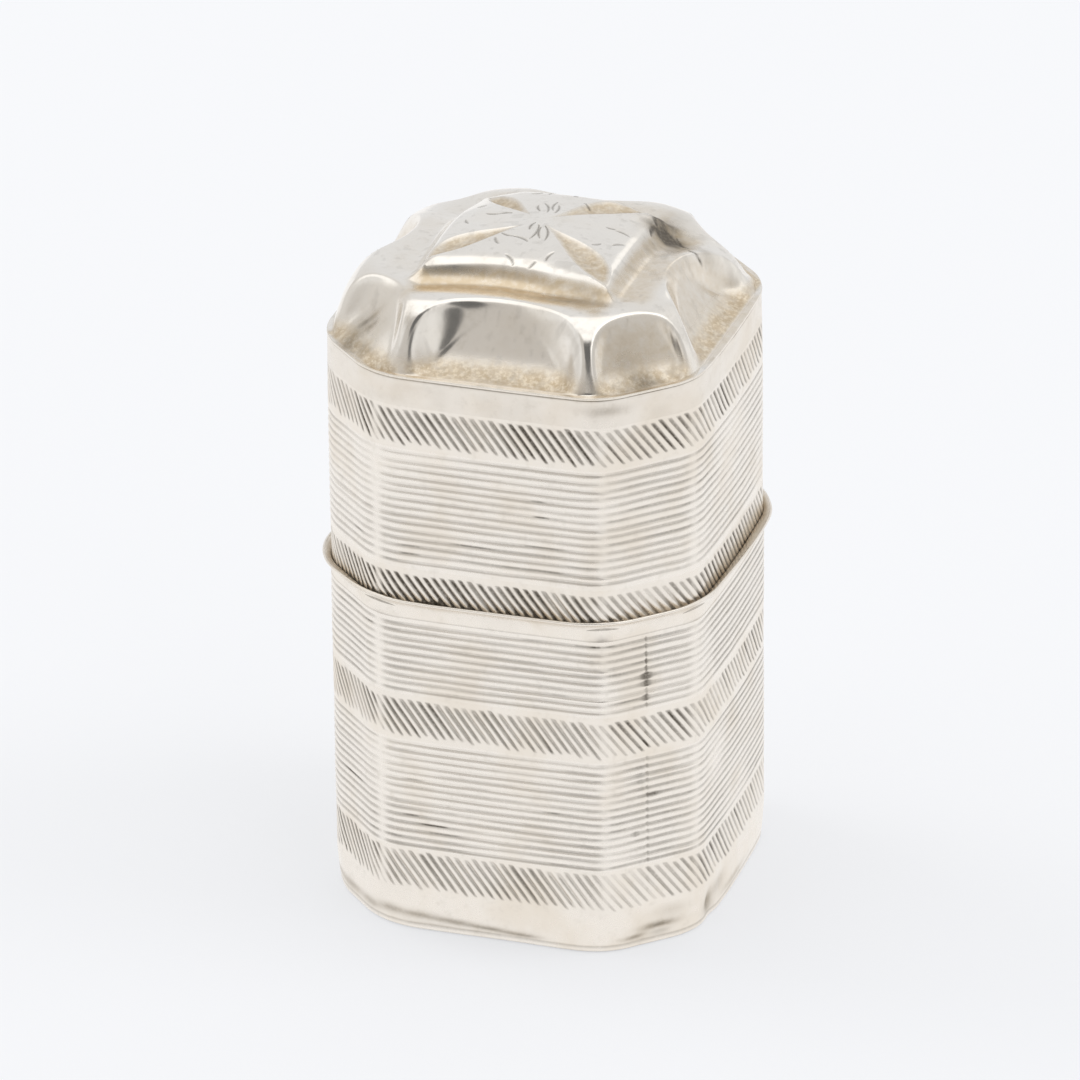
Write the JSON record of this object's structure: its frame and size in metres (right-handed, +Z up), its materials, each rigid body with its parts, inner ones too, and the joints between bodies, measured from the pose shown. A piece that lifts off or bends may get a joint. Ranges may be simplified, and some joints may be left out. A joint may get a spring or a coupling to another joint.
{
  "type": "scent box",
  "caption": "Small square silver scent box with cut corners, reeded and hatched walls, a flared rim and a hinged lid with an embossed star top; a sponge sits inside.",
  "frame": {"origin": "centre of the flat underside", "axes": "+Z up, -Y the front, +Y the hinge side, +X to the right seen from the front"},
  "size_m": [0.0288, 0.0291, 0.0497],
  "materials": {
    "reeded_silver": "soft worn silver, reeded and hatched",
    "embossed_silver": "polished embossed silver, warm in the hollows",
    "plain_silver": "plain worn silver",
    "hinge_silver": "drawn silver tube and wire, slightly tarnished",
    "sponge": "dry natural sponge"
  },
  "bodies": {
    "box": {"base_plate": "plain_silver", "box_wall": "reeded_silver", "box_rim": "plain_silver", "box_collar": "plain_silver", "hinge_knuckle_1": "hinge_silver", "hinge_knuckle_3": "hinge_silver", "hinge_knuckle_5": "hinge_silver", "hinge_pin": "hinge_silver", "scent_sponge": "sponge"},
    "lid": {"lid_wall": "reeded_silver", "lid_top": "embossed_silver", "hinge_knuckle_2": "hinge_silver", "hinge_knuckle_4": "hinge_silver"}
  },
  "joints": [
    {"name": "lid_hinge", "type": "hinge", "parent": "box", "child": "lid", "pos_m": [0, 0.014, 0.0254], "axis": [-1, 0, 0], "range_deg": [0, 110]}
  ]
}
